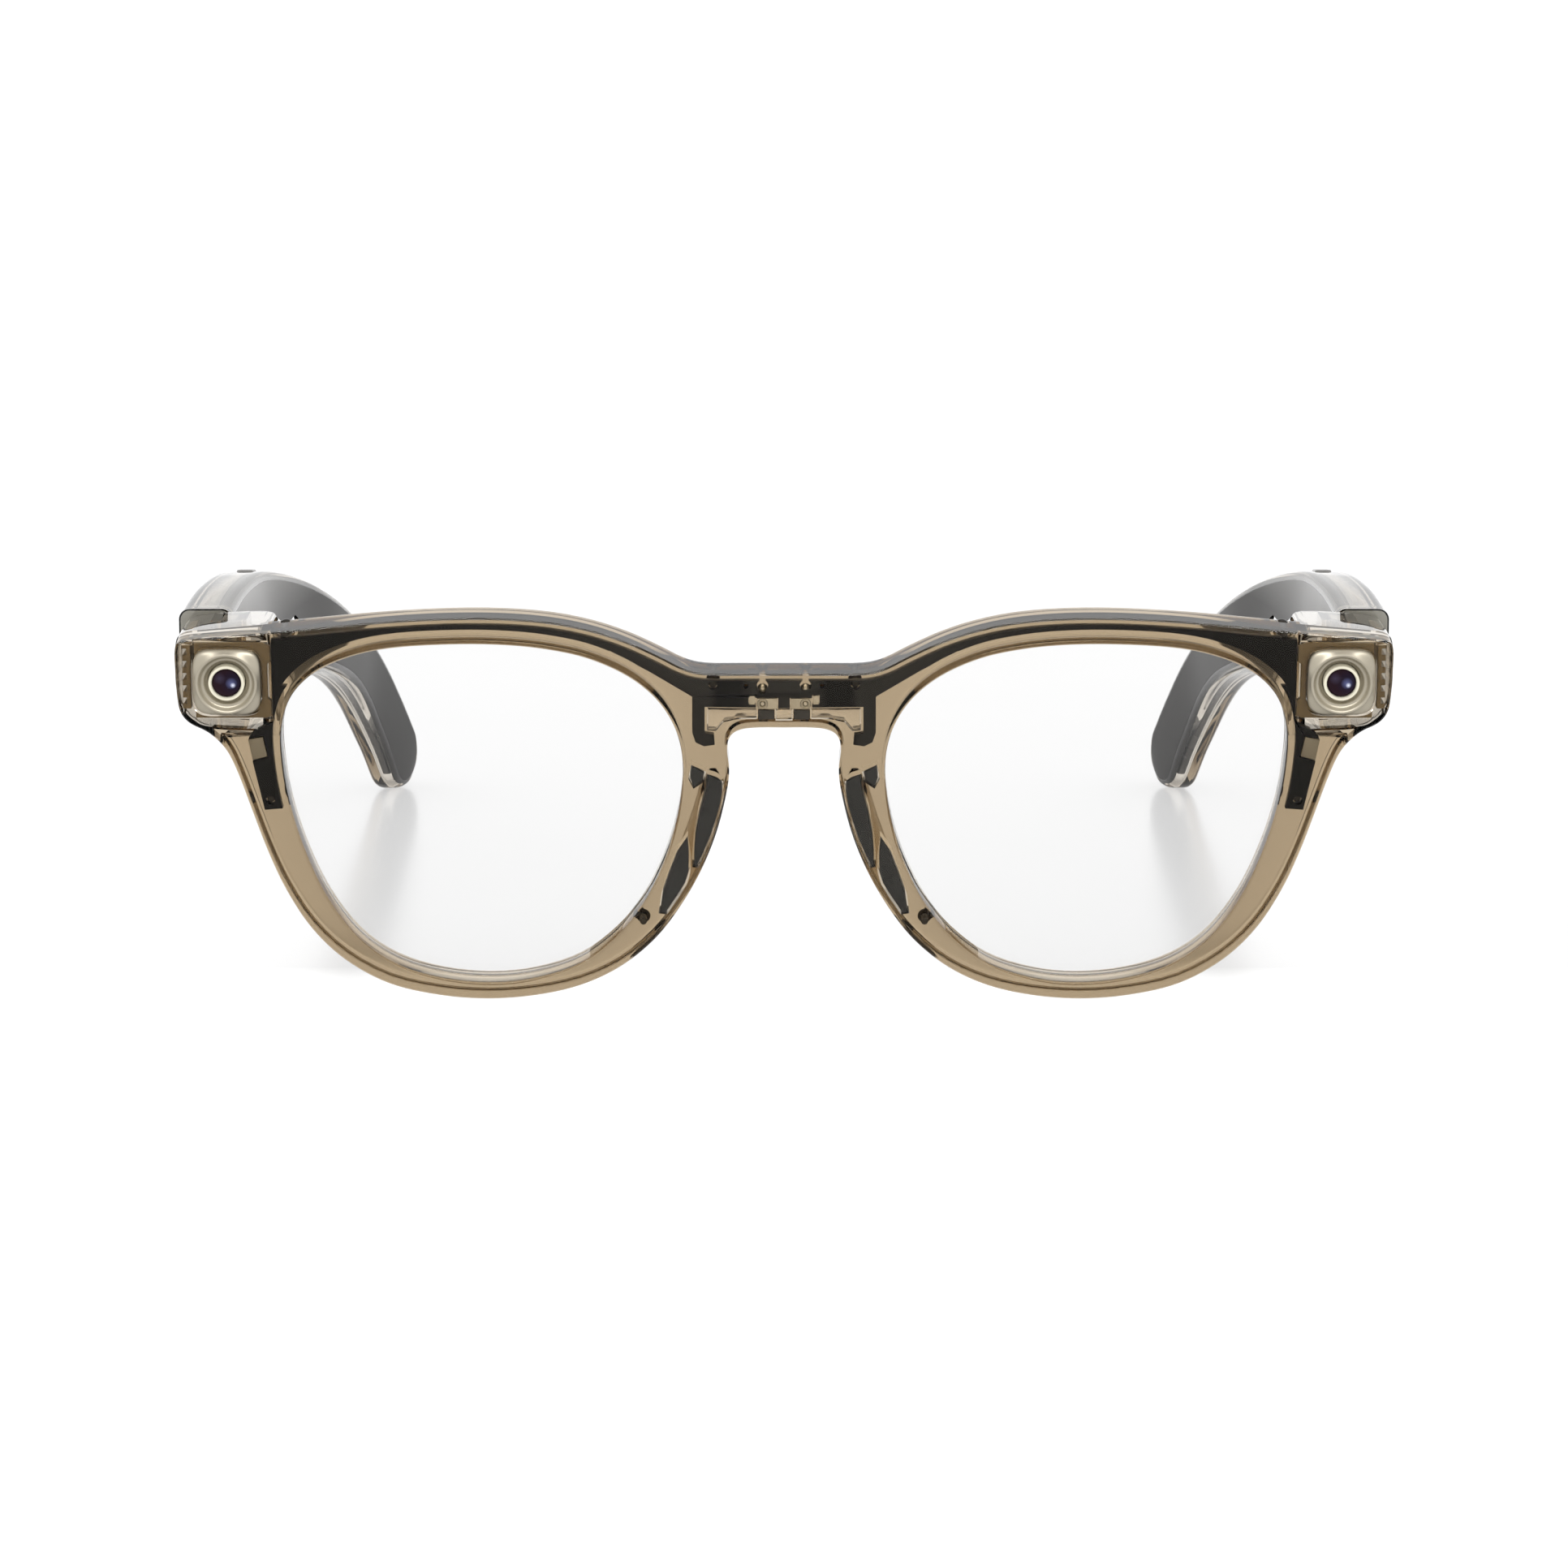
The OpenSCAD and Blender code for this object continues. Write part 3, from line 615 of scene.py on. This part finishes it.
def make_front_shell():
    chamfer = [(0, 0.2), (0.175, 0)]
    shell = layered("front_shell_looks", outline, openings,
                    chamfer + [(SPLIT, 0)], edge_steps(0.4) + [(SPLIT, 0)], LEAN)
    for side in SIDES.values():
        carve(shell, end_piece(side), "UNION")
        carve(shell, end_hollow(side))
        hole = [super_ring(4.25, 5, depth, at=(side * CAM_X, CAM_Z)) for depth in (-2, 3.2)]
        carve(shell, tube("hole", hole, LEAN))
        carve(shell, hinge_room(side))
    carve(shell, pocket("nose_inserts", 0.25))
    carve(shell, pocket("bridge_plates", 0.12))
    place_piece(shell, "front", "tan", "front_shell")
    shiny.append(shell)


def make_rear_cover():
    back = [(FRONT_T - d, i) for d, i in reversed(edge_steps(0.7))]
    outer, *holes = face_loops("rear_cover", FRONT_T)[:3]
    steps = [(SPLIT + 0.02, 0)] + back
    cover = layered("rear_cover_looks", outer, holes, steps, steps, LEAN)
    place_piece(cover, "front", "tan", "rear_cover")


def make_lens(name, loop):
    """A thin meniscus: rings that close in on the middle of the lens, bulging forward."""
    middle = sum(loop, Vector((0, 0))) / len(loop)
    shares = [1, 0.985, 0.95, 0.88, 0.78, 0.66, 0.52, 0.38, 0.24, 0.1]
    bulge = 0.5

    def ring(share, depth):
        curved = depth - bulge * (1 - share ** 2)
        return [(middle.x + (p.x - middle.x) * share, curved,
                 middle.y + (p.y - middle.y) * share) for p in edge]

    edge = grown(loop, 0.5)
    rings = [ring(k, 2.75) for k in reversed(shares)] + [ring(k, 3.85) for k in shares]
    lens = tube(f"{name}_looks", rings, LEAN, angle=40)
    place_piece(lens, "front", "lens", name)


make_front_shell()
make_rear_cover()
for loop in openings:
    make_lens("lens_left" if sum(p.x for p in loop) > 0 else "lens_right", loop)

# ---- camera and light ----

# Sections as (half width, squareness, depth), then (radius, depth).
BEZEL = [(4.1, 4.6, 3.0), (4.1, 4.6, 0.25), (4.05, 4.2, 0.0), (3.97, 3.6, -0.17),
         (3.88, 2.9, -0.31), (3.83, 2.3, -0.46), (3.77, 2, -0.6), (3.68, 2, -0.7),
         (3.55, 2, -0.7), (3.42, 2, -0.62), (3.3, 2, -0.35), (3.15, 2, 0.0), (3.0, 2, 0.1),
         (2.8, 2, 0.12), (2.66, 2, 0.25), (2.56, 2, 0.52), (2.42, 2, 0.6), (2.3, 2, 0.7),
         (2.28, 2, 3.0)]
RING = [(2.2, 1.4), (2.2, -0.2), (2.14, -0.31), (2.02, -0.35), (1.92, -0.33), (1.8, -0.2),
        (1.76, 0.1), (1.76, 1.4)]
EYE = [(1.7, 3.0), (1.7, -0.02), (1.66, -0.08), (1.45, -0.2), (1.1, -0.33), (0.7, -0.42),
       (0.3, -0.46), (0.05, -0.47)]


def make_eye(side, prefix):
    at = (side * CAM_X, CAM_Z)
    bezel = tube(f"{prefix}_bezel_looks", [super_ring(s, p, d, at=at) for s, p, d in BEZEL],
                 LEAN, closed=True)
    bright.append(place_piece(bezel, "front", "champagne", f"{prefix}_bezel"))
    ring = tube(f"{prefix}_ring_looks", [super_ring(s, 2, d, at=at) for s, d in RING],
                LEAN, closed=True)
    place_piece(ring, "front", "cream", f"{prefix}_ring")
    eye = tube(f"{prefix}_lens_looks", [super_ring(s, 2, d, at=at) for s, d in EYE], LEAN)
    place_piece(eye, "front", f"{prefix}_eye", f"{prefix}_lens")


make_eye(-1, "camera")
make_eye(1, "light")

# ---- bridge contacts ----

# A post as (radius, height) and a boss as (radius, depth).
POST = [(0.55, 38.4), (0.55, 38.6), (0.36, 38.72), (0.30, 38.85), (0.32, 39.02), (0.47, 39.18),
        (0.58, 39.42), (0.60, 39.62), (0.54, 39.88), (0.38, 40.08), (0.2, 40.17), (0.04, 40.2)]
BOSS = [(0.66, 2.0), (0.66, 1.12), (0.62, 1.06), (0.55, 1.04), (0.48, 1.08), (0.46, 1.2),
        (0.4, 1.22), (0.34, 1.12), (0.2, 1.06), (0.04, 1.05)]
POST_X, POST_Y, PLATE_Z = 2.6, 1.8, 37.7


def make_contacts():
    """Ball-topped posts, and a round boss on each plate below them."""
    turns = [2 * math.pi * k / 32 for k in range(32)]
    posts, bosses = [], []
    for x in (-POST_X, POST_X):
        posts.append([[(x + r * math.cos(a), POST_Y + r * math.sin(a), z) for a in turns]
                      for r, z in POST])
        bosses.append([super_ring(r, 2, y, 32, (x, PLATE_Z)) for r, y in BOSS])
    posts = tubes("contact_posts_looks", posts, LEAN, angle=50)
    bright.append(place_piece(posts, "front", "bright", "contact_posts"))
    bosses = tubes("contact_bosses", bosses, LEAN, angle=50)
    bright.append(place_piece(bosses, "front", "bright"))


make_contacts()

# ---- nose pads ----


PAD_SPINE = [(8.6, 5.2, 28.6), (8.9, 6.6, 26.5), (9.7, 8.4, 22), (11.2, 8.5, 17.5),
             (13.1, 6.6, 13.6), (14.2, 5.2, 12)]
PAD_ACROSS, PAD_DEEP, PAD_BACK = 1.5, 3.4, 0.45


def pad_ring(side, place, share, count=24):
    """One section of a nose pad, flat where it meets the rear cover."""
    swell = math.sin(math.pi * min(max(share, 0.02), 0.98)) ** 0.5
    ring = []
    for k in range(count):
        a = 2 * math.pi * k / count
        across = PAD_ACROSS * swell * math.cos(a)
        deep = PAD_DEEP * swell * math.sin(a) * (1 if math.sin(a) < 0 else PAD_BACK)
        ring.append((side * (place.x + across), max(place.y + deep, FRONT_T + 0.02), place.z))
    return ring


def make_nose_pads():
    spine = open_curve(PAD_SPINE, 6)
    last = len(spine) - 1
    skins = [[pad_ring(side, place, i / last) for i, place in enumerate(spine)]
             for side in SIDES.values()]
    pads = tubes("nose_pads_looks", skins, LEAN, angle=60)
    place_piece(pads, "front", "tan", "nose_pads")


make_nose_pads()

# ---- temples ----

# Along a temple: the middle as (y, z), the outer face as (y, x), and the height by its share.
ARM_Z = 40.1
ARM_LINE = [(HINGE_Y + 0.1, ARM_Z), (35, 39.8), (58, 38.1), (80, 34.2), (98.5, 29), (112, 24.2),
            (122.5, 18.4), (130.7, 11.2), (136.2, 5.05)]
ARM_SIDE = [(HINGE_Y + 0.1, 74.8), (35, 74.9), (58, 74.2), (78, 71.8), (98, 67.9),
            (112, 65.4), (123, 63.2), (132, 60.5), (142.5, 57)]
ARM_TALL = [(0, 12.6), (0.35, 11.4), (0.6, 9.4), (0.8, 9.3), (1, 10)]
ARM_T, TIP_T = 6.6, 3.6
arm_tall = open_curve(ARM_TALL, 4)
arm_line = open_curve(ARM_LINE, 8)
arm_side = open_curve(ARM_SIDE, 8)


def lookup(curve, at):
    """The second value of a curve of points where its first value is at."""
    for a, b in zip(curve, curve[1:]):
        if a.x <= at <= b.x:
            return a.y + (b.y - a.y) * (at - a.x) / (b.x - a.x)
    return curve[0].y if at < curve[0].x else curve[-1].y


def outer_x(y):
    return lookup(arm_side, y)


def arm_thickness(y):
    knots = [p[0] for p in ARM_SIDE]
    step = max(i for i, k in enumerate(knots[:-1]) if k <= max(y, knots[0]))
    share = (step + (y - knots[step]) / (knots[step + 1] - knots[step])) / (len(knots) - 1)
    return ARM_T + (TIP_T - ARM_T) * min(max(share, 0), 1) ** 2


def arm_stations(inset):
    """(middle, direction, half height less the inset) along a temple and round its end."""
    last = len(arm_line) - 1
    out = []
    for i, p in enumerate(arm_line):
        d = (arm_line[min(i + 1, last)] - arm_line[max(i - 1, 0)]).normalized()
        out.append((p, d, lookup(arm_tall, i / last) / 2 - inset))
    p, d, r = out[-1]
    for k in range(1, 13):
        a = math.pi / 2 * k / 12.3
        out.append((p + d * r * math.sin(a), d, r * math.cos(a)))
    return out


def section(half, near, far, radius, count=8):
    """Rounded rectangle in (across, up), from near to far across and -half to half up."""
    r = min(radius, half * 0.98, (far - near) / 2 * 0.98)
    ring = []
    for cx, cy, start in ((far - r, half - r, 0), (near + r, half - r, 90),
                          (near + r, r - half, 180), (far - r, r - half, 270)):
        for k in range(count + 1):
            a = math.radians(start + 90 * k / count)
            ring.append((cx + r * math.cos(a), cy + r * math.sin(a)))
    return ring


def arm_piece(name, side, near, far, inset, radius, first=0, squeeze=0.9):
    """A loft along the temple; near and far are taken inward from the outer face."""
    rings = []
    for p, d, half in arm_stations(inset)[first:]:
        up = Vector((-d.y, d.x))
        thick = arm_thickness(p.x)
        pinch = squeeze * (1 - min(half / 3.2, 1)) ** 2
        ring = []
        for w, h in section(half, near(thick) + pinch, far(thick) - pinch, radius):
            y, z = p.x + up.x * h, p.y + up.y * h
            ring.append((side * (outer_x(y) - w), y, z))
        rings.append(ring)
    return tube(name, rings, FLAT, angle=50)


def seat_ring(side, y, drop, half, near, far, radius):
    return [(side * (outer_x(y) - w), y, ARM_Z - drop + h)
            for w, h in section(half, near, far, radius)]


def make_seat(name, side):
    """Stepped seat of the hinge and the plate ahead of it, which close a temple's front."""
    steps = [(1.3, 16.0, 0), (1.3, 17.4, 0), (2.2, 17.4, 0.9), (2.2, 19.6, 0.9), (3.0, 19.6, 1.8),
             (3.0, 21.6, 1.8)]
    rings = [seat_ring(side, y, drop, 5.0 - drop / 2, near, 5.3, 0.5) for near, y, drop in steps]
    seat = tube(f"temple_seat_{name}", rings, FLAT)
    place_piece(seat, f"temple_{name}", "cream_grey")
    ends = [seat_ring(side, y, 0, 6.05, 0.2, 6.3, 1.1) for y in (13.1, 13.6)]
    plate = tube(f"temple_end_plate_{name}", ends, FLAT)
    carve(plate, drum(side * HINGE_X, HINGE_Y, 34.7, 45.75, 2.2, FLAT))
    place_piece(plate, f"temple_{name}", "cream_grey")


ARM_WALL = 1.2
COVER_T = 1.19


def make_temple(name, side):
    make_seat(name, side)
    shell = arm_piece(f"temple_shell_{name}_looks", side, lambda t: 0, lambda t: t, 0, 1.3)
    hollow = arm_piece("hollow", side, lambda t: ARM_WALL, lambda t: t - ARM_WALL - 0.05,
                       ARM_WALL, 1.0, first=1, squeeze=0)
    carve(shell, hollow)
    carve(shell, hinge_room(side))
    place_piece(shell, f"temple_{name}", "temple", f"temple_shell_{name}")
    cover = arm_piece(f"temple_cover_{name}_looks", side, lambda t: t - COVER_T,
                      lambda t: t + 0.02, 0.9, 0.4, first=2, squeeze=0)
    place_piece(cover, f"temple_{name}", "cover", f"temple_cover_{name}")


for side_name, side_sign in SIDES.items():
    make_temple(side_name, side_sign)

# ---- floor, light and camera ----


def make_floor():
    bm = bmesh.new()
    bmesh.ops.create_grid(bm, x_segments=2, y_segments=2, size=3)
    floor = finish_mesh("floor", bm)
    floor.data.materials.append(mats["floor"])


def area_light(name, place, aim, size, power, only):
    """A soft light that shines on the given pieces alone."""
    light = bpy.data.lights.new(name, "AREA")
    light.shape = "RECTANGLE"
    light.size, light.size_y = size
    light.energy = power
    obj = bpy.data.objects.new(name, light)
    bpy.context.scene.collection.objects.link(obj)
    obj.location = place
    obj.rotation_euler = (Vector(aim) - Vector(place)).to_track_quat("-Z", "Y").to_euler()
    lit = bpy.data.collections.new(f"{name}_lit")
    for piece in only:
        lit.objects.link(piece)
    obj.light_linking.receiver_collection = lit


def make_world():
    world = bpy.data.worlds.new("studio")
    bpy.context.scene.world = world
    world.use_nodes = True
    sky = world.node_tree.nodes["Background"].inputs
    sky["Color"].default_value = (1, 1, 1, 1)
    sky["Strength"].default_value = 1.08


make_floor()
make_world()
area_light("strip", (0, -0.625, 0.942), (0, -0.0735, 0.046), (2.4, 0.07), 8, shiny)
area_light("glint", (0, -0.65, 0.75), (0, -0.05, 0.04), (1.2, 0.3), 12, bright)


def make_camera():
    data = bpy.data.cameras.new("camera")
    cam = bpy.data.objects.new("camera", data)
    bpy.context.scene.collection.objects.link(cam)
    away, rise, aim_z = 0.7, math.radians(11), 0.0269
    view_width, sensor = 0.19129, 36
    aim = Vector((0, -MID_Y * MM, aim_z))
    cam.location = aim + Vector((0, -math.cos(rise), math.sin(rise))) * away
    cam.rotation_euler = (aim - cam.location).to_track_quat("-Z", "Y").to_euler()
    data.sensor_width = sensor
    data.lens = sensor * away / view_width
    data.clip_start = 0.01
    bpy.context.scene.camera = cam


make_camera()
scene = bpy.context.scene
scene.view_settings.view_transform = "Standard"
scene.cycles.max_bounces = 24
scene.cycles.transmission_bounces = 20
scene.cycles.transparent_max_bounces = 16
